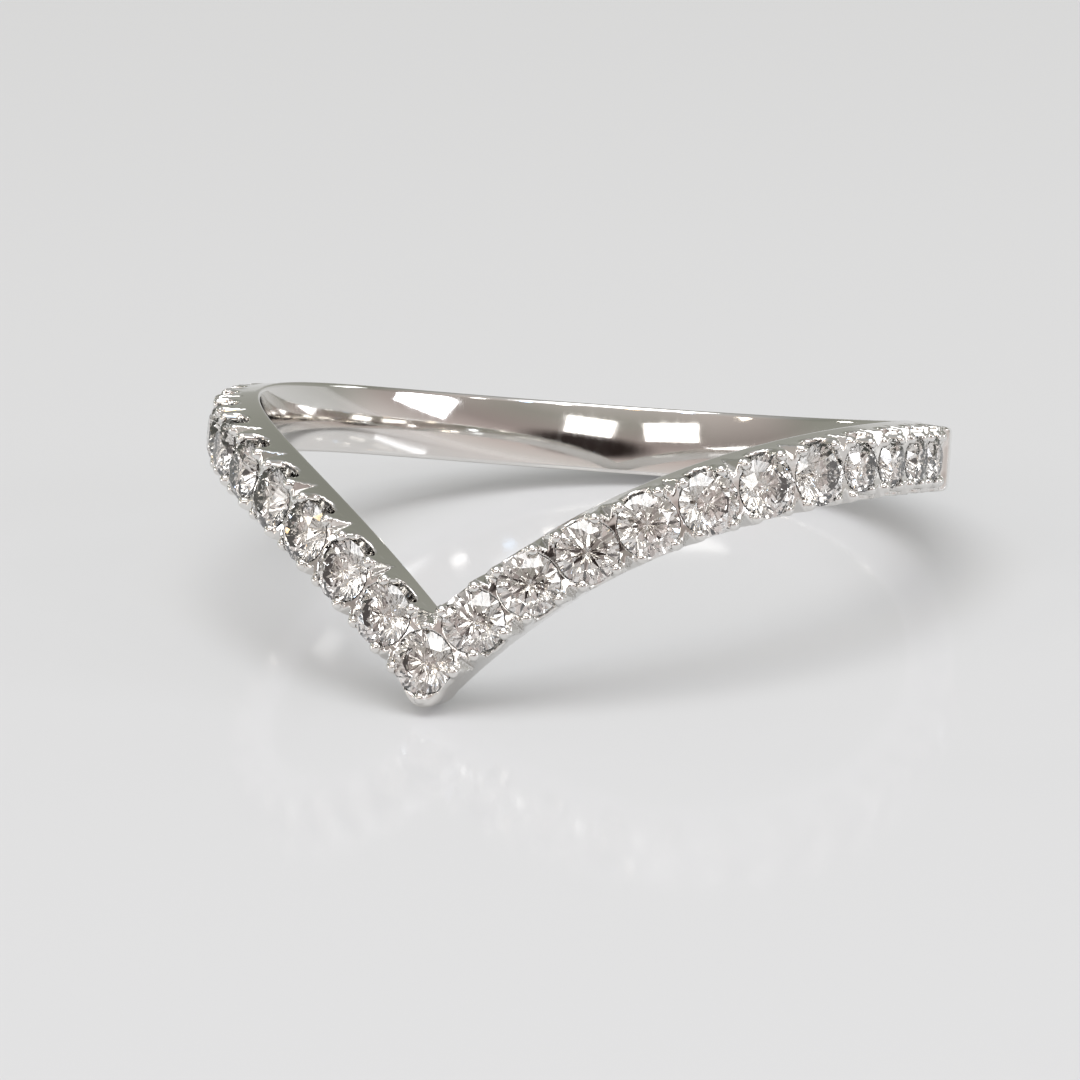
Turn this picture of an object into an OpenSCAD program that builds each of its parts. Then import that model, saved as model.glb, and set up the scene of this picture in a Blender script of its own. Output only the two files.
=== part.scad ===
/* [Finger size] */
// Inside diameter of the ring
finger_d = 16.5; // [14:0.1:21]
// Radial thickness of the band
wall = 1.3; // [1.2:0.05:2]
// Width of the band at the finger
band_w = 1.85; // [1.75:0.05:2.4]
// How much narrower each side wall is at the outside
side_draft = 0.1; // [0:0.01:0.15]
// Chamfer along the long edges of the band
edge_break = 0.1; // [0.04:0.01:0.15]

/* [Chevron] */
// Drop of the point of the V below the shank
drop = 6.08; // [3:0.05:7.5]
// Angle from the point to where the arms have run out level
arm_angle = 140; // [110:1:165]
// How quickly the arms flatten away from the point
arm_power = 3.6; // [2.6:0.05:4.2]
// Metal below the middle of the stone at the point
tip_reach = 1.04; // [0.95:0.01:1.3]

/* [Stones] */
// Diameter of the stones along the front
stone_d = 1.58; // [1.3:0.01:1.6]
// Diameter of the smaller stones at each end of the row
side_stone_d = 1.26; // [1:0.01:1.5]
// Number of front stones on each arm, not counting the one at the point
front_count = 7; // [4:1:8]
// Number of smaller stones at the end of each arm
side_count = 4; // [0:1:5]
// Gap between the girdles of two neighbours
stone_gap = 0.065; // [0.05:0.005:0.2]
// Clearance between a stone and its seat
seat_gap = 0.02; // [0.01:0.005:0.04]
// Height that the beads stand above the girdles
bead_h = 0.2; // [0.12:0.01:0.25]

/* [Setting] */
// Radius of the scallop under each stone, as a share of its diameter
scallop_share = 0.34; // [0.28:0.01:0.38]
// Depth of the scallops below the girdles
scallop_depth = 0.45; // [0.2:0.01:0.5]
// Width of the notch that splits each pair of beads
notch_w = 0.2; // [0.08:0.01:0.26]
// Length that each notch runs down the side wall
notch_run = 0.62; // [0.3:0.01:0.7]
// Length that each notch runs in over the top of the band
notch_reach = 0.35; // [0.15:0.01:0.4]
// How far the beads reach in over the girdles
claw_reach = 0.05; // [0:0.01:0.08]
// Half width of the hollow between two neighbours, as a share of their diameter
valley_share = 0.27; // [0.24:0.01:0.29]
// Depth of the hollows below the girdles
valley_depth = 0.08; // [0.05:0.01:0.15]

/* [Hidden] */

inner_r = finger_d / 2;
outer_r = inner_r + wall;
girdle_r = outer_r - bead_h;

// Half widths of the band at the finger, at the top of its side walls and on its outside
half_w = band_w / 2;
top_half = half_w - side_draft;
crest_half = top_half - edge_break;

arm_count = front_count + side_count;
stone_total = 2 * arm_count + 1;
stone_names = [for (i = [1 : stone_total]) str("stone_", i < 10 ? "0" : "", i)];

// Proportions of a round brilliant, as shares of its diameter
table_share = 0.56;
crown_share = 0.15;
girdle_share = 0.025;
pavilion_share = 0.43;
low_girdle_share = 0.22;
// Turn of each stone about its own axis against its neighbour
turn_angle = 17;

// Angle that a length along the girdle circle turns through
function turned(len) = len / girdle_r * 180 / PI;

// Centre line of the band, unrolled: height at an angle from the point, and its slope
function level(a) = -drop * pow(max(0, 1 - abs(a) / arm_angle), arm_power);
function rise(a) =
    drop * arm_power / arm_angle * pow(max(0, 1 - a / arm_angle), arm_power - 1)
    * 180 / PI / girdle_r;
function slope(a) = atan(rise(a));

// Size of stone k, counted from the point, and the step from its neighbour nearer the point
function size_of(k) = k > front_count ? side_stone_d : stone_d;
function step_to(k) = (size_of(k) + size_of(k - 1)) / 2 + stone_gap;

// Angle reached after a step along the centre line, in small moves
walk_moves = 8;
function walk(a, len, moves = walk_moves) =
    moves == 0 ? a
    : walk(a + turned(len / moves * cos(slope(a))), len * (moves - 1) / moves, moves - 1);
function angle_of(k) = k == 0 ? 0 : walk(angle_of(k - 1), step_to(k));
arm_angles = [for (k = [0 : arm_count]) angle_of(k)];

// Angles midway between neighbours, and one past the last stone, where the beads stand
function past(k) = walk(arm_angles[k], size_of(k) / 2 + stone_gap / 2);
bead_angles = [for (k = [0 : arm_count]) past(k)];

// Resting pose: the inner edge of the point and the outer edge of the shank touch the floor
rest_tilt = atan((drop + tip_reach - top_half) / (outer_r + inner_r));
rest_lift = (outer_r - edge_break) * sin(rest_tilt) + top_half * cos(rest_tilt);
front_y = -outer_r * cos(rest_tilt) - (drop + tip_reach * crest_half / half_w) * sin(rest_tilt);
back_y = outer_r * cos(rest_tilt) + crest_half * sin(rest_tilt);

module resting() {
    translate([0, -(front_y + back_y) / 2, rest_lift]) rotate([-rest_tilt, 0, 0]) children();
}

// Corners of the section, each a radius and a distance from the middle of the band
section = [
    [inner_r - edge_break, half_w - 2 * edge_break],
    [inner_r + edge_break, half_w],
    [outer_r - edge_break, top_half],
    [outer_r, crest_half]
];
ring_pts = concat(section, [for (i = [3 : -1 : 0]) [section[i][0], -section[i][1]]]);

// Angles of the sections along one arm, closer together round the point. The upper edge starts
// where both arms meet, and the lower edge starts with an arc as far as arc_a.
corner_a = turned(half_w * sin(slope(0)));
arc_a = 3;
stations = concat(
    [0, arc_a / 3, arc_a * 2 / 3, arc_a, 4, 5.5, 7],
    [for (a = [9 : 3 : 117]) a],
    [for (a = [120 : 5 : 180]) a]
);

function edge_point(r, h, a) = [r, a - turned(h * sin(slope(a))), level(a) + h * cos(slope(a))];
function upper_point(r, h, a) = edge_point(r, h, sqrt(a * a + pow(corner_a * h / half_w, 2)));
function lower_arc(r, h, turn) =
    let (reach = -h / half_w * (half_w + (tip_reach - half_w) * cos(90 * turn / slope(0))))
    [r, turned(reach * sin(turn)), level(0) - reach * cos(turn)];
function lower_point(r, h, a) =
    a < arc_a ? lower_arc(r, h, slope(0) * a / arc_a) : edge_point(r, h, sqrt(a * a - arc_a * arc_a));
function corner(p, a) =
    a == 0 && p[1] > 0 ? [p[0], 0, level(0) + p[1] / cos(slope(0))]
    : a == 180 ? [p[0], 180, p[1]]
    : p[1] > 0 ? upper_point(p[0], p[1], a) : lower_point(p[0], p[1], a);
function place(c, side) = [side * c[0] * sin(c[1]), -c[0] * cos(c[1]), c[2]];

last = len(stations) - 1;
loop = concat(
    [for (i = [0 : last]) [stations[i], 1]],
    [for (i = [last - 1 : -1 : 1]) [stations[i], -1]]
);

module blank() {
    n = len(ring_pts);
    m = len(loop);
    points = [for (s = loop) for (p = ring_pts) place(corner(p, s[0]), s[1])];
    quads = [for (i = [0 : m - 1]) for (j = [0 : n - 1])
        [i * n + j, i * n + (j + 1) % n, ((i + 1) % m) * n + (j + 1) % n, ((i + 1) % m) * n + j]];
    polyhedron(points, [for (q = quads) for (t = [[q[0], q[1], q[2]], [q[0], q[2], q[3]]]) t]);
}

// Puts its children on the girdle level: X along the row, Y across the band, Z outwards
module on_row(a, side) {
    rotate([0, 0, side * a]) translate([0, -girdle_r, level(a)]) rotate([90, 0, 0])
        rotate([0, 0, side * (a == 0 ? 0 : slope(a))]) children();
}

module seat(d) {
    r = d / 2 + seat_gap;
    low = girdle_share * d / 2 + seat_gap;
    deep = pavilion_share * d + seat_gap;
    mouth = d / 2 - claw_reach;
    point_r = 0.05;
    outline = [
        [0, -deep - low], [point_r, -deep - low], [r, -low], [r, low],
        [mouth, low + r - mouth], [mouth, d], [0, d]
    ];
    rotate_extrude($fn = 48) polygon(outline);
}

module scallop(d) {
    r = scallop_share * d;
    translate([0, 0, r - scallop_depth]) rotate([90, 0, 0])
        cylinder(h = 2 * band_w, r = r, center = true, $fn = 32);
}

// Hollow between the beads on one edge of the band and those on the other
module valley(d) {
    reach = valley_share * d;
    depth = bead_h + valley_depth;
    r = (reach * reach + depth * depth) / (2 * depth);
    translate([0, 0, r - valley_depth]) rotate([0, 90, 0])
        cylinder(h = 3 * reach, r = r, center = true, $fn = 48);
}

// V groove down the side wall that parts the two beads of a pair, run a little past the metal
module notch() {
    past = 1.2;
    lean = atan(notch_reach / notch_run);
    depth = past * notch_reach * cos(lean);
    half = past * notch_w / 2;
    span = norm([notch_reach, notch_run]);
    translate([0, top_half - notch_reach, bead_h]) rotate([lean, 0, 0]) translate([0, 0, -past * span])
        linear_extrude(2 * past * span) polygon([[0, 0], [half, depth], [-half, depth]]);
}

module band() {
    color([0.86, 0.86, 0.87]) resting() difference() {
        blank();
        cylinder(h = 4 * (drop + band_w), r = inner_r, center = true, $fn = 128);
        on_row(0, 1) seat(stone_d);
        for (side = [-1, 1], k = [1 : arm_count]) on_row(arm_angles[k], side) {
            seat(size_of(k));
            scallop(size_of(k));
        }
        for (side = [-1, 1], k = [0 : arm_count]) on_row(bead_angles[k], side) {
            valley(size_of(min(k + 1, arm_count)));
            notch();
            mirror([0, 1, 0]) notch();
        }
    }
}

function facet_ring(r, z, n, start) =
    [for (i = [0 : n - 1]) [r * cos(start + i * 360 / n), r * sin(start + i * 360 / n), z]];

// Round brilliant with its girdle on the level: table, stars, kites, halves and pavilion
module brilliant(d) {
    r = d / 2;
    rt = table_share * r;
    g = girdle_share * r;
    top = g + crown_share * d;
    rs = (rt * cos(22.5) + r) / 2;
    zs = top - (rs * cos(22.5) - rt) * (top - g) / (r - rt);
    rl = low_girdle_share * r;
    deep = g + pavilion_share * d;
    zl = -deep + rl * cos(22.5) * (deep - g) / r;
    points = concat(
        facet_ring(rt, top, 8, 0), facet_ring(rs, zs, 8, 22.5), facet_ring(r, g, 16, 0),
        facet_ring(r, -g, 16, 0), facet_ring(rl, zl, 8, 22.5), [[0, 0, -deep]]
    );
    table = 0;
    star = 8;
    upper = 16;
    lower = 32;
    half = 48;
    culet = 56;
    faces = concat(
        [[for (i = [7 : -1 : 0]) table + i]],
        [for (i = [0 : 7]) [table + i, table + (i + 1) % 8, star + i]],
        [for (i = [0 : 7]) [table + i, star + i, upper + 2 * i, star + (i + 7) % 8]],
        [for (i = [0 : 7]) [star + i, upper + 2 * i + 1, upper + 2 * i]],
        [for (i = [0 : 7]) [star + i, upper + (2 * i + 2) % 16, upper + 2 * i + 1]],
        [for (i = [0 : 15]) [upper + i, upper + (i + 1) % 16, lower + (i + 1) % 16, lower + i]],
        [for (i = [0 : 7]) [lower + 2 * i, lower + 2 * i + 1, half + i]],
        [for (i = [0 : 7]) [lower + 2 * i + 1, lower + (2 * i + 2) % 16, half + i]],
        [for (i = [0 : 7]) [lower + 2 * i, half + i, culet, half + (i + 7) % 8]]
    );
    polyhedron(points, faces);
}

module stone(i) {
    k = abs(i - arm_count);
    color([0.93, 0.94, 0.96]) resting() on_row(arm_angles[k], i < arm_count ? -1 : 1)
        rotate([0, 0, i * turn_angle]) brilliant(size_of(k));
}

band();
for (i = [0 : stone_total - 1]) stone(i);
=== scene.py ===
import math

import bpy
import numpy as np
from mathutils import Matrix, Vector


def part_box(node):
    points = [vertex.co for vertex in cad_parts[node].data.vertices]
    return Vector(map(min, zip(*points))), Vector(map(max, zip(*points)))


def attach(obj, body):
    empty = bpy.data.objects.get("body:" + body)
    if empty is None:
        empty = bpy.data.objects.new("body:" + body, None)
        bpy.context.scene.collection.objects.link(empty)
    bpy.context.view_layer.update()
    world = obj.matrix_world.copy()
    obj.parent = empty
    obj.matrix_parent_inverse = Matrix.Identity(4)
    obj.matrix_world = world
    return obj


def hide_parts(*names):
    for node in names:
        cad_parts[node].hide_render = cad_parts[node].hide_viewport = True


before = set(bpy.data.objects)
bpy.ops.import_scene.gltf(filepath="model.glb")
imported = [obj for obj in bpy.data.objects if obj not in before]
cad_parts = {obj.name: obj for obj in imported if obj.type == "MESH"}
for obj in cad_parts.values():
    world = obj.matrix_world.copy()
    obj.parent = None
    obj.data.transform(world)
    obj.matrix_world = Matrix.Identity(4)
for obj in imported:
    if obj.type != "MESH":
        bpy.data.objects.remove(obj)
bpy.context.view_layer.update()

mm = 0.001
print("frame loaded:", len(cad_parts), "nodes")

# Sizes of the ring in millimetres, as the CAD part has them. In the ring's own frame Z is the axis of
# the finger hole, the point of the V faces -Y, and angles are counted from the point, in degrees.
ring = {
    "innerR": 8.25, "wall": 1.3, "bandWidth": 1.85, "sideDraft": 0.1, "edgeBreak": 0.1,
    "drop": 6.08, "armAngle": 140.0, "armPower": 3.6, "tipReach": 1.04,
    "beadRise": 0.2, "stoneGap": 0.065,
    "frontStone": 1.58, "sideStone": 1.26, "frontCount": 7, "sideCount": 4,
}
outerR = ring["innerR"] + ring["wall"]
girdleR = outerR - ring["beadRise"]
halfW = ring["bandWidth"] / 2
topHalf = halfW - ring["sideDraft"]
crestHalf = topHalf - ring["edgeBreak"]
armCount = ring["frontCount"] + ring["sideCount"]
perDegree = girdleR * math.pi / 180  # millimetres along the girdle circle in one degree


# Height of the band's centre line, and how steeply it climbs
def levelAt(a):
    return -ring["drop"] * np.maximum(0, 1 - np.abs(a) / ring["armAngle"]) ** ring["armPower"]


def slopeAt(a):
    ease = np.maximum(0, 1 - np.abs(a) / ring["armAngle"]) ** (ring["armPower"] - 1)
    return np.arctan(ring["drop"] * ring["armPower"] / ring["armAngle"] * ease / perDegree)


# Stone 0 is at the point, and the others are counted up each arm
def stoneSize(k):
    return ring["sideStone"] if k > ring["frontCount"] else ring["frontStone"]


def walkAlong(a, length, moves=8):
    for left in range(moves, 0, -1):
        step = length / left
        a += float(step * np.cos(slopeAt(a))) / perDegree
        length -= step
    return a


stoneAngles = [0.0]
for k in range(1, armCount + 1):
    apart = (stoneSize(k) + stoneSize(k - 1)) / 2 + ring["stoneGap"]
    stoneAngles.append(walkAlong(stoneAngles[-1], apart))
beadAngles = [walkAlong(a, (stoneSize(k) + ring["stoneGap"]) / 2) for k, a in enumerate(stoneAngles)]

# How the ring lies: the point's inner edge and the back's outer edge touch the floor
restTilt = math.atan((ring["drop"] + ring["tipReach"] - topHalf) / (outerR + ring["innerR"]))
restLift = (outerR - ring["edgeBreak"]) * math.sin(restTilt) + topHalf * math.cos(restTilt)
footReach = ring["drop"] + ring["tipReach"] * crestHalf / halfW
frontY = -outerR * math.cos(restTilt) - footReach * math.sin(restTilt)
backY = outerR * math.cos(restTilt) + crestHalf * math.sin(restTilt)
middleY = (frontY + backY) / 2
resting = Matrix.Translation((0, -middleY, restLift)) @ Matrix.Rotation(-restTilt, 4, "X")

# Camera: yaw, height and roll in degrees, distance and aim in millimetres, focal length and frame in pixels
view = {
    "yaw": 23.061, "height": 17.996, "roll": -3.282, "distance": 169.26, "aim": (-1.218, 0.004, 1.044),
    "focal": 6520.0, "frame": 1080, "sensor": 36.0, "clip": (0.01, 10),
}


def aimCamera():
    yaw, height, roll = (math.radians(view[key]) for key in ("yaw", "height", "roll"))
    ahead = Vector((0, math.cos(height), -math.sin(height)))
    level, rise = Vector((1, 0, 0)), Vector((0, math.sin(height), math.cos(height)))
    right = level * math.cos(roll) + rise * math.sin(roll)
    up = rise * math.cos(roll) - level * math.sin(roll)
    pose = Matrix((right, up, -ahead)).transposed().to_4x4()
    pose.translation = Vector(view["aim"]) - ahead * view["distance"]
    pose = Matrix.Rotation(yaw, 4, "Z") @ pose
    pose.translation = (pose.translation - Vector((0, middleY, 0))) * mm
    data = bpy.data.cameras.new("camera")
    data.sensor_width = view["sensor"]
    data.lens = view["focal"] * view["sensor"] / view["frame"]
    data.clip_start, data.clip_end = view["clip"]
    camera = bpy.data.objects.new("camera", data)
    camera.matrix_world = pose
    bpy.context.scene.collection.objects.link(camera)
    bpy.context.scene.camera = camera


aimCamera()
print("camera placed")


# Wraps a socket, so that shader maths reads as plain arithmetic
class Num:
    def __init__(self, paint, socket):
        self.paint, self.socket = paint, socket

    def maths(self, operation, a, b):
        return self.paint.node("ShaderNodeMath", {"operation": operation}, {0: a, 1: b})

    def __add__(self, other):
        return self.maths("ADD", self, other)

    def __sub__(self, other):
        return self.maths("SUBTRACT", self, other)

    def __rsub__(self, other):
        return self.maths("SUBTRACT", other, self)

    def __mul__(self, other):
        return self.maths("MULTIPLY", self, other)

    __radd__, __rmul__ = __add__, __mul__


# One node tree, of a material or of the world
class Paint:
    def __init__(self, owner):
        owner.use_nodes = True
        self.owner, self.tree = owner, owner.node_tree
        self.tree.nodes.clear()

    def node(self, kind, settings=None, values=None, out=0):
        made = self.tree.nodes.new(kind)
        for key, value in (settings or {}).items():
            if key == "stops":
                ramp = made.color_ramp
                while len(ramp.elements) < len(value):
                    ramp.elements.new(0.5)
                for element, (place, colour) in zip(ramp.elements, value):
                    element.position, element.color = place, colour
            else:
                setattr(made, key, value)
        for key, value in (values or {}).items():
            if isinstance(value, Num):
                self.tree.links.new(value.socket, made.inputs[key])
            else:
                made.inputs[key].default_value = value
        return Num(self, made.outputs[out])

    def mix(self, factor, a, b):
        return self.node("ShaderNodeMix", {"data_type": "RGBA"}, {"Factor": factor, "A": a, "B": b}, out="Result")

    def finish(self, shader, kind="ShaderNodeOutputMaterial"):
        end = self.tree.nodes.new(kind)
        self.tree.links.new(shader.socket, end.inputs["Surface"])
        return self.owner


def newMaterial(name):
    return Paint(bpy.data.materials.new(name))


# Polished white gold: hardly any colour, hairlines from wear, faint waviness from the polishing wheel
gold = {
    "tone": (0.80, 0.795, 0.775, 1), "toneWarm": (0.74, 0.715, 0.685, 1), "mottle": 260.0,
    "rough": (0.035, 0.11), "roughSpan": (0.35, 0.65), "hairShare": 0.6,
    "hairlines": 5200.0, "hairStretch": (1.0, 1.0, 0.16), "hairDepth": 0.012,
    "waves": 420.0, "waveDepth": 0.02, "relief": 0.25, "reliefDepth": 0.0002,
}


def paintGold():
    p = newMaterial("white_gold")
    place = p.node("ShaderNodeTexCoord", out="Object")
    stretched = p.node("ShaderNodeMapping", {}, {"Vector": place, "Scale": gold["hairStretch"]})
    blotch = p.node("ShaderNodeTexNoise", {}, {"Vector": place, "Scale": gold["mottle"], "Detail": 3.0})
    hair = p.node("ShaderNodeTexNoise", {}, {"Vector": stretched, "Scale": gold["hairlines"], "Detail": 4.0})
    wave = p.node("ShaderNodeTexNoise", {}, {"Vector": place, "Scale": gold["waves"], "Detail": 1.0})
    worn = hair * gold["hairShare"] + blotch * (1 - gold["hairShare"])
    rough = p.node("ShaderNodeMapRange", {}, {
        "Value": worn, "From Min": gold["roughSpan"][0], "From Max": gold["roughSpan"][1],
        "To Min": gold["rough"][0], "To Max": gold["rough"][1]})
    normal = p.node("ShaderNodeBump", {}, {
        "Height": hair * gold["hairDepth"] + wave * gold["waveDepth"],
        "Strength": gold["relief"], "Distance": gold["reliefDepth"]})
    return p.finish(p.node("ShaderNodeBsdfPrincipled", {}, {
        "Base Color": p.mix(blotch, gold["toneWarm"], gold["tone"]), "Metallic": 1.0,
        "Roughness": rough, "Normal": normal}))


# Diamond: clear, with a slightly different tint in each stone
diamond = {
    "tint": [(0.0, (0.985, 0.982, 0.985, 1)), (0.4, (1.0, 0.982, 0.962, 1)),
             (0.7, (1.0, 0.97, 0.935, 1)), (1.0, (0.985, 0.962, 0.94, 1))],
    "patch": 700.0, "ior": 2.42, "speck": 9000.0, "rough": 0.006, "facetAngle": 1,
}


def paintDiamond():
    p = newMaterial("diamond")
    place = p.node("ShaderNodeTexCoord", out="Object")
    patch = p.node("ShaderNodeTexNoise", {}, {"Vector": place, "Scale": diamond["patch"], "Detail": 1.0})
    tint = p.node("ShaderNodeValToRGB", {"stops": diamond["tint"]}, {"Fac": patch})
    speck = p.node("ShaderNodeTexNoise", {}, {"Vector": place, "Scale": diamond["speck"]})
    return p.finish(p.node("ShaderNodeBsdfPrincipled", {}, {
        "Base Color": tint, "Transmission Weight": 1.0, "IOR": diamond["ior"],
        "Roughness": speck * diamond["rough"]}))


goldPaint = paintGold()
diamondPaint = paintDiamond()
print("materials made")

# The band's detail in millimetres. The band is a field in the ring's own frame: below zero is metal.
cut = {
    # softening of the long edges
    "innerDome": 0.09, "innerRound": 0.09, "outerRound": 0.17, "sideProud": 0.004, "sideRound": 0.01,
    # the row lies in a step: its height above the girdles, at the beads and along the middle
    "rowTop": 0.03, "rowRound": 0.04, "valleyTop": 0.012, "valleyFrom": 0.3, "valleyTo": 0.56,
    "endClear": 0.42, "rampRun": 0.45, "rampRise": 0.5,
    # the lower rim at the point is well rounded, and reaches a little further than the solid
    "rimRound": 0.3, "rimFrom": 0.55, "rimTo": 0.85, "rimTurn": (4, 9),
    "growth": 0.25, "growthFrom": 0.3, "growthShort": 0.1,
    # seats and scallops
    "stoneClear": 0.002, "seatRound": 0.006, "girdleShare": 0.0125,
    "crownSlope": (0.6457, 0.7635), "pavilionSlope": (0.652, 0.758),
    "scallopShare": 0.315, "scallopDepth": 0.45, "lipFrom": 0.81, "lipFlare": 0.36, "crisp": 0.018,
    # notches between the beads
    "notchRun": 0.7, "notchReach": 0.46, "notchOpen": 0.72, "cornerClear": 0.02,
    # beads, smaller beside the smaller stones
    "beadR": 0.17, "beadKeep": 0.4, "beadAlong": 0.335, "alongKeep": 0.45, "beadAcross": 0.67,
    "sideBeadIn": 0.1, "beadBase": 0.012, "beadPost": 0.35, "beadTop": 0.02, "beadBlend": 0.05,
    "pointBeads": ((0.9, 0.12), (-0.87, 0.16)),  # place and radius, at the corner and at the foot of the V
}
rowEnd = beadAngles[-1] + cut["endClear"] / perDegree
nowhere = 9.0  # field value where a feature is out of reach
nearBy = 1.75  # a feature is only worked out this near


def softMax(a, b, k):
    gap = np.maximum(k - np.abs(a - b), 0)
    return np.maximum(a, b) + gap * gap / (4 * k)


def softMin(a, b, k):
    return -softMax(-a, -b, k)


def smoothStep(x, low, high):
    x = np.clip((x - low) / (high - low), 0, 1)
    return x * x * (3 - 2 * x)


# Place along the centre line and distance across it, for an angle from the point, a height and a radius
def acrossBand(a, z, r):
    t = a.copy()
    for _ in range(6):
        s = slopeAt(t)
        off = (a - t) * perDegree * np.cos(s) + (z - levelAt(t)) * np.sin(s)
        t = np.maximum(0, t + off * np.cos(s) / perDegree)
    s = slopeAt(t)
    h = (z - levelAt(t)) * np.cos(s) - (a - t) * perDegree * np.sin(s)
    # below the point the band turns round it, and is wider at the middle of the turn
    steep = float(slopeAt(0.0))
    dx, dz = a * perDegree, z - levelAt(0.0)
    turn = np.arctan2(dx, -dz)
    point = (t <= 0) & (dz < 0) & (turn < steep)
    grown = smoothStep(r, ring["innerR"] + cut["growthFrom"], outerR - cut["growthShort"])
    reach = ring["tipReach"] + cut["growth"] * grown
    wide = halfW + (reach - halfW) * np.cos(math.pi / 2 * np.clip(turn / steep, 0, 1))
    return t, np.where(point, -np.hypot(dx, dz) * halfW / wide, h)


# Local frame of a stone or a bead pair: X along the row, Y across the band, Z outwards
def localFrame(x, y, z, a, side):
    w = math.radians(side * a)
    px, py = x * math.cos(w) + y * math.sin(w), y * math.cos(w) - x * math.sin(w)
    s = side * (float(slopeAt(a)) if a else 0.0)
    lx, ly = px, z - float(levelAt(a))
    return lx * math.cos(s) + ly * math.sin(s), ly * math.cos(s) - lx * math.sin(s), -(py + girdleR)


def stoneField(lx, ly, lz, d):
    past, half = np.hypot(lx, ly) - d / 2, cut["girdleShare"] * d
    (crownOut, crownUp), (pavilionOut, pavilionUp) = cut["crownSlope"], cut["pavilionSlope"]
    crown = past * crownOut + (lz - half) * crownUp
    pavilion = past * pavilionOut - (lz + half) * pavilionUp
    return np.maximum(np.maximum(past, crown), pavilion)


# A round-bottomed slot across the wall, under a stone, with lips that flare at the sides
def scallopField(lx, across, lz, d):
    half = cut["scallopShare"] * d
    above = lz + cut["scallopDepth"] - half
    wide = half + np.maximum(0, across - cut["lipFrom"]) * cut["lipFlare"]
    return np.where(above > 0, np.abs(lx), np.hypot(lx, above)) - wide


# A V notch that runs down and inwards from the side of the wall
def notchField(lx, across, lz):
    lean = math.atan(cut["notchReach"] / cut["notchRun"])
    inwards = (across - topHalf + cut["notchReach"]) * math.cos(lean)
    deep = inwards + (lz - ring["beadRise"]) * math.sin(lean)
    return (np.abs(lx) - deep * cut["notchOpen"]) / math.hypot(1, cut["notchOpen"])


# A post with a round top
def beadField(aside, up, radius):
    top = np.hypot(aside, np.maximum(up - cut["beadBase"], 0)) - radius
    return np.maximum(top, -(up + cut["beadPost"]))


stoneSpots = [(k, side, stoneAngles[k]) for k in range(armCount + 1) for side in (-1, 1) if k or side > 0]
beadSpots = [(k, side, beadAngles[k]) for k in range(armCount + 1) for side in (-1, 1)]


def metalField(p):
    x, y, z = p[:, 0], p[:, 1], p[:, 2]
    r = np.hypot(x, y)
    angle = np.degrees(np.arctan2(x, -y))
    t, h = acrossBand(np.abs(angle), z, r)

    def around(a, side):
        near = np.abs(angle - side * a) * perDegree < nearBy
        i = np.nonzero(near & (np.abs(z - float(levelAt(a))) < nearBy))[0]
        return i, localFrame(x[i], y[i], z[i], a, side)

    # the plain band, with the step that the row lies in
    draft = ring["sideDraft"] / (ring["wall"] - 2 * ring["edgeBreak"])
    sideAt = halfW - draft * (r - ring["innerR"] - ring["edgeBreak"])
    inner = ring["innerR"] + cut["innerDome"] * (h / halfW) ** 2
    solid = softMax(np.abs(h) - sideAt, inner - r, cut["innerRound"])
    solid = softMax(solid, r - outerR, cut["outerRound"])
    ramp = smoothStep(t, rowEnd, rowEnd + cut["rampRun"] / perDegree) * cut["rampRise"]
    middle = 1 - smoothStep(np.abs(h), cut["valleyFrom"], cut["valleyTo"])
    top = girdleR + cut["rowTop"] + (cut["valleyTop"] - cut["rowTop"]) * middle + ramp
    rim = smoothStep(-h, cut["rimFrom"], cut["rimTo"]) * (1 - smoothStep(t, *cut["rimTurn"]))
    solid = softMax(solid, r - top, cut["rowRound"] + cut["rimRound"] * rim)

    stones, grooves, beads = (np.full(len(r), nowhere) for _ in range(3))
    for k, side, a in stoneSpots:
        i, (lx, ly, lz) = around(a, side)
        d = stoneSize(k)
        stones[i] = np.minimum(stones[i], stoneField(lx, ly, lz, d) - cut["stoneClear"])
        grooves[i] = np.minimum(grooves[i], stones[i])
        if k:
            grooves[i] = softMin(grooves[i], scallopField(lx, np.abs(ly), lz, d), cut["crisp"])
    for k, side, a in beadSpots:
        i, (lx, ly, lz) = around(a, side)
        across = np.abs(ly)
        notch = notchField(lx, across, lz)
        if k == 0:
            notch = np.where((ly > 0) & (side * x[i] < cut["cornerClear"]), nowhere, notch)
        grooves[i] = softMin(grooves[i], notch, cut["crisp"])
        share = stoneSize(min(k + 1, armCount)) / ring["frontStone"]
        away = cut["beadAlong"] * (cut["alongKeep"] + (1 - cut["alongKeep"]) * share)
        out = cut["beadAcross"] - cut["sideBeadIn"] * (k > ring["frontCount"])
        radius = cut["beadR"] * (cut["beadKeep"] + (1 - cut["beadKeep"]) * share)
        for along in (-1, 1):
            bead = beadField(np.hypot(lx - along * side * away, across - out), lz, radius)
            if k == 0 and along < 0:
                bead = np.where(ly > 0, nowhere, bead)  # the corner of the V has one bead for both arms
            beads[i] = np.minimum(beads[i], bead)
    for place, radius in cut["pointBeads"]:
        aside = np.hypot(x, z - float(levelAt(0.0)) - place)
        beads = np.minimum(beads, beadField(aside, r - girdleR, radius))

    # notches and scallops cut the wall, the beads are raised from it, and the stones are clear of both
    solid = softMax(solid, -grooves, cut["crisp"])
    solid = softMin(solid, softMax(beads, r - outerR, cut["beadTop"]), cut["beadBlend"])
    solid = softMax(solid, np.abs(h) - sideAt - cut["sideProud"], cut["sideRound"])
    return softMax(solid, -stones, cut["seatRound"])


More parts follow.
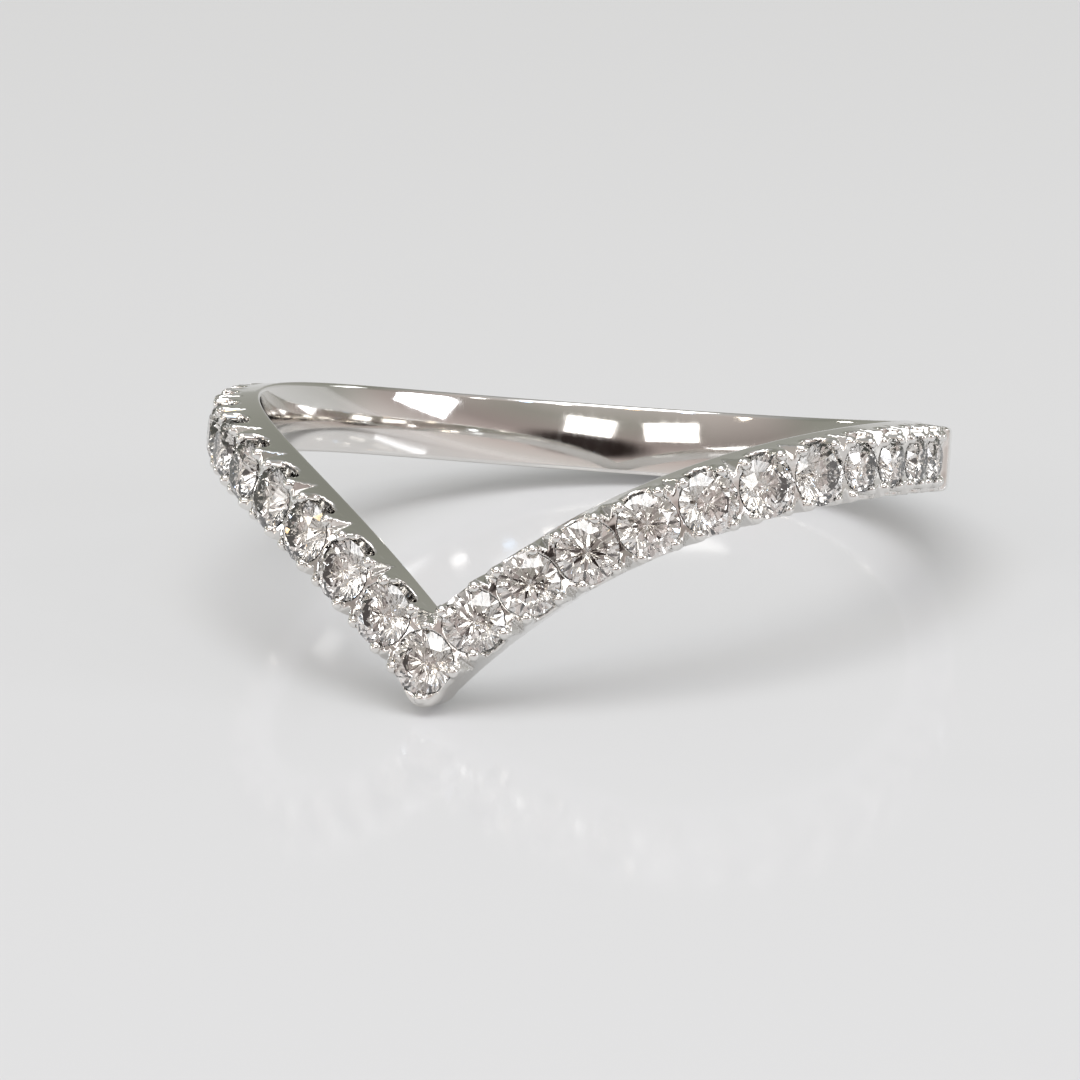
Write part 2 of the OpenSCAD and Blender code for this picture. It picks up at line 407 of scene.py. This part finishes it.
# Grid steps in millimetres, and how the net settles on the surface
mesh = {
    "alongStep": 0.064, "backStep": 0.3, "backGrow": 0.05, "fineBeyond": 4,
    "acrossCells": 33, "reach": 1.03, "skin": 0.06, "depthFrom": 0.7, "depthCells": 10, "topCells": 14,
    "rounds": 2, "farthest": 0.04, "flattest": 0.2, "settleProbe": 0.004, "normalProbe": 0.01,
}


# Grid of the whole loop: angle from the point, place across, radius
def bandGrid():
    angles = [0.0]
    while angles[-1] < 180:
        a = angles[-1]
        past = max(0, a - rowEnd - mesh["fineBeyond"])
        step = min(mesh["backStep"], mesh["alongStep"] + mesh["backGrow"] * past)
        angles.append(a + step * float(np.cos(slopeAt(a))) / perDegree)
    angles = np.array(angles[:-1]) * 180 / (angles[-1])
    loop = np.concatenate([angles, [180.0], -angles[:0:-1]])
    across = np.linspace(-mesh["reach"], mesh["reach"], mesh["acrossCells"])
    deep = np.linspace(ring["innerR"] - mesh["skin"], ring["innerR"] + mesh["depthFrom"], mesh["depthCells"])
    high = np.linspace(ring["innerR"] + mesh["depthFrom"], outerR + mesh["skin"], mesh["topCells"])
    return loop, across, np.concatenate([deep[:-1], high])


# One point in each cell that the surface passes through, and one face for each grid edge that it crosses
def netOf(loop, across, radii):
    a, h, r = np.meshgrid(loop, across, radii, indexing="ij")
    w = np.radians(a)
    nodes = np.stack([r * np.sin(w), -r * np.cos(w), levelAt(a) + h / np.cos(slopeAt(a))], -1)
    value = metalField(nodes.reshape(-1, 3)).reshape(a.shape)
    index = np.arange(a.size).reshape(a.shape)
    total, count = np.zeros(a.shape + (3,)), np.zeros(a.shape)
    quads = []
    for axis in range(3):
        other, away = np.roll(value, -1, axis), np.roll(nodes, -1, axis)
        crossed = (value < 0) != (other < 0)
        if axis:  # only the loop is closed
            last = [slice(None)] * 3
            last[axis] = -1
            crossed[tuple(last)] = False
        share = np.where(crossed, value / np.where(crossed, value - other, 1), 0)
        spot = np.where(crossed[..., None], nodes + (away - nodes) * share[..., None], 0)
        beside = [b for b in range(3) if b != axis]
        cells = []
        for steps in ((0, 0), (1, 0), (1, 1), (0, 1)):
            back = (-steps[0], -steps[1])
            total += np.roll(spot, back, beside)
            count += np.roll(crossed, back, beside)
            cells.append(np.roll(index, steps, beside)[crossed])
        corners = np.stack(cells, 1)
        flip = (value[crossed] < 0) == (axis == 1)
        corners[flip] = corners[flip][:, ::-1]
        quads.append(corners)
    used, quads = np.unique(np.concatenate(quads), return_inverse=True)
    points = (total.reshape(-1, 3) / np.maximum(count.reshape(-1, 1), 1))[used]
    return points, quads.reshape(-1, 4)


def gradientAt(p, probe):
    g = np.zeros_like(p)
    for i in range(3):
        shift = np.zeros(3)
        shift[i] = probe
        g[:, i] = (metalField(p + shift) - metalField(p - shift)) / (2 * probe)
    return g


def buildBand():
    points, quads = netOf(*bandGrid())
    for _ in range(mesh["rounds"]):
        g = gradientAt(points, mesh["settleProbe"])
        steep = np.maximum((g * g).sum(1), mesh["flattest"])
        step = (metalField(points) / steep)[:, None] * g
        length = np.linalg.norm(step, axis=1, keepdims=True)
        points -= step * np.minimum(1, mesh["farthest"] / np.maximum(length, 1e-9))
    normals = gradientAt(points, mesh["normalProbe"])
    normals /= np.maximum(np.linalg.norm(normals, axis=1, keepdims=True), 1e-9)
    turn, lift = np.array(resting)[:3, :3], np.array(resting)[:3, 3]
    low, high = (np.array(v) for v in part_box("band"))
    points = np.clip((points @ turn.T + lift) * mm, low, high)
    body = bpy.data.meshes.new("band_metal")
    body.from_pydata(points.tolist(), [], quads.tolist())
    body.validate()
    body.shade_smooth()
    body.normals_split_custom_set_from_vertices((normals @ turn.T).tolist())
    body.materials.append(goldPaint)
    band = bpy.data.objects.new("band_metal", body)
    bpy.context.scene.collection.objects.link(band)
    print("band:", len(points), "points,", 2 * len(quads), "triangles")
    return band


band = buildBand()
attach(band, "root")
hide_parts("band")

for name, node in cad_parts.items():
    isStone = name.startswith("stone")
    node.data.materials.clear()
    node.data.materials.append(diamondPaint if isStone else goldPaint)
    if isStone:
        facets = node.modifiers.new("facets", "EDGE_SPLIT")  # flat facets with sharp edges
        facets.split_angle = math.radians(diamond["facetAngle"])
print("stones dressed")

# Studio: a pale glossy floor, a soft grey room and a few softboxes
studio = {
    "floor": (0.572, 0.577, 0.588, 1), "floorGlow": 0.12, "glowTint": (0.985, 0.985, 1.0, 1),
    "floorGloss": 0.09, "glossVary": 0.02, "glossPatch": 900.0, "floorIor": 1.4, "floorSheen": 0.16,
    "floorHalf": 4, "reach": 0.6,  # half the floor's width, and the softboxes' distance, in metres
    # azimuth and height of the middle, width and height in degrees, brightness, colour
    "boxes": {
        "key": (20.5, 27, 18, 11, 3.4, (1, 0.985, 0.97)),
        "side": (-14, 27, 21, 12, 2.4, (1, 0.98, 0.96)),
        "right": (89, 17, 24, 13, 4.0, (0.93, 0.95, 1)),
        "far": (132, 16, 12, 12, 2.0, (0.97, 0.98, 1)),
        "sparkA": (56, 44, 4, 4, 6.0, (0.45, 0.68, 1)),
        "sparkB": (2, 52, 4, 4, 5.0, (1, 0.66, 0.3)),
        "sparkC": (-30, 14, 5, 6, 6.0, (1, 1, 1)),
        "sparkD": (38, 47, 4, 4, 7.0, (1, 0.95, 0.9)),
        "sparkE": (-54, 5, 4, 5, 9.0, (1, 0.9, 0.75)),
        "sparkF": (-28, 50, 4, 4, 6.0, (0.5, 0.66, 1)),
        "sparkG": (75, 36, 5, 5, 8.0, (1, 1, 1)),
        "sparkH": (-62, 4, 5, 5, 8.0, (1, 0.95, 0.9)),
        "sparkJ": (-50, 34, 5, 6, 5.0, (1, 0.9, 0.75)),
        "sparkK": (-104, 18, 6, 6, 9.0, (1, 0.95, 0.9)),
        "sparkL": (-80, 8, 5, 6, 8.0, (0.85, 0.92, 1)),
        "high": (55, 60, 22, 20, 1.6, (0.96, 0.98, 1)),
    },
    "overhead": (-20, 80, 48, 44, 3.1, (1, 1, 1)),
    # the room's tones by height, from the floor's level to straight up
    "behindRoom": [(0.0, (0.40, 0.40, 0.37, 1)), (0.30, (0.33, 0.335, 0.295, 1)),
                   (0.5, (0.28, 0.285, 0.25, 1)), (0.75, (0.45, 0.45, 0.45, 1)), (1.0, (0.6, 0.6, 0.6, 1))],
    "frontRoom": [(0.0, (0.76, 0.72, 0.70, 1)), (0.14, (0.64, 0.555, 0.53, 1)),
                  (0.30, (0.38, 0.322, 0.305, 1)), (0.5, (0.36, 0.345, 0.31, 1)),
                  (0.75, (0.62, 0.585, 0.555, 1)), (1.0, (0.6, 0.6, 0.6, 1))],
    "flankRoom": [(0.0, (0.74, 0.69, 0.67, 1)), (0.16, (0.52, 0.46, 0.44, 1)),
                  (0.32, (0.36, 0.32, 0.30, 1)), (0.6, (0.58, 0.53, 0.50, 1)), (1.0, (0.6, 0.6, 0.6, 1))],
    # where one side of the room gives way to the next, as cosines
    "flankFade": (0.78, 0.45), "behindFade": (-0.25, 0.35),
    # the dark place in the room, round the camera: azimuth, height, half width and half height in degrees
    "shade": (20, 13.5, 21, 6.5), "shadeTone": (0.03, 0.022, 0.02, 1),
    "shadeFade": (2.0, 0.45), "shadeAhead": (0.3, 0.5),
}


def towards(azimuth, height):
    a, e = math.radians(azimuth), math.radians(height)
    return Vector((math.sin(a) * math.cos(e), -math.cos(a) * math.cos(e), math.sin(e)))


def buildFloor():
    p = newMaterial("floor")
    place = p.node("ShaderNodeTexCoord", out="Object")
    faint = p.node("ShaderNodeTexNoise", {}, {"Vector": place, "Scale": studio["glossPatch"], "Detail": 2.0})
    surface = p.finish(p.node("ShaderNodeBsdfPrincipled", {}, {
        "Base Color": studio["floor"], "Roughness": faint * studio["glossVary"] + studio["floorGloss"],
        "IOR": studio["floorIor"], "Specular IOR Level": studio["floorSheen"],
        "Emission Color": studio["glowTint"], "Emission Strength": studio["floorGlow"]}))
    w = studio["floorHalf"]
    body = bpy.data.meshes.new("floor")
    body.from_pydata([(-w, -w, 0), (w, -w, 0), (w, w, 0), (-w, w, 0)], [], [(0, 1, 2, 3)])
    body.materials.append(surface)
    floor = bpy.data.objects.new("floor", body)
    bpy.context.scene.collection.objects.link(floor)


def addSoftbox(name, azimuth, height, wide, tall, bright, colour, shape="RECTANGLE"):
    out = towards(azimuth, height)
    data = bpy.data.lights.new(name, "AREA")
    data.shape = shape
    data.size, data.size_y = (2 * studio["reach"] * math.tan(math.radians(v / 2)) for v in (wide, tall))
    filled = math.pi / 4 if shape == "ELLIPSE" else 1.0
    data.energy, data.color = bright * filled * math.pi * data.size * data.size_y, colour
    light = bpy.data.objects.new(name, data)
    light.location = out * studio["reach"]
    light.rotation_mode = "QUATERNION"
    light.rotation_quaternion = out.to_track_quat("Z", "Y")
    bpy.context.scene.collection.objects.link(light)


def buildWorld():
    world = bpy.data.worlds.new("studio")
    bpy.context.scene.world = world
    p = Paint(world)
    direction = p.node("ShaderNodeTexCoord", out="Generated")

    def facing(way):
        return p.node("ShaderNodeVectorMath", {"operation": "DOT_PRODUCT"}, {0: direction, 1: way}, out="Value")

    def fade(value, limits, kind="SMOOTHSTEP"):
        return p.node("ShaderNodeMapRange", {"interpolation_type": kind}, {
            "Value": value, "From Min": limits[0], "From Max": limits[1]})

    height = facing((0, 0, 1))
    behind, front, flank = (p.node("ShaderNodeValToRGB", {"stops": studio[key]}, {"Fac": height})
                            for key in ("behindRoom", "frontRoom", "flankRoom"))
    room = p.mix(fade(facing(towards(view["yaw"], 0)), studio["flankFade"]), front, flank)
    room = p.mix(fade(facing(towards(view["yaw"] + 180, 0)), studio["behindFade"]), room, behind)
    azimuth, rise, half, tall = studio["shade"]
    across = facing(towards(azimuth + 90, 0)) * (1 / math.sin(math.radians(half)))
    above = (height - math.sin(math.radians(rise))) * (1 / math.sin(math.radians(tall)))
    shade = fade(across * across + above * above, studio["shadeFade"])
    ahead = fade(facing(towards(azimuth, rise)), studio["shadeAhead"], "LINEAR")
    room = p.mix(shade * ahead, room, studio["shadeTone"])
    p.finish(p.node("ShaderNodeBackground", {}, {"Color": room, "Strength": 1.0}), "ShaderNodeOutputWorld")


buildFloor()
buildWorld()
for name, box in studio["boxes"].items():
    addSoftbox(name, *box)
addSoftbox("overhead", *studio["overhead"], shape="ELLIPSE")
bpy.context.scene.view_settings.view_transform = "Standard"
print("studio lit")
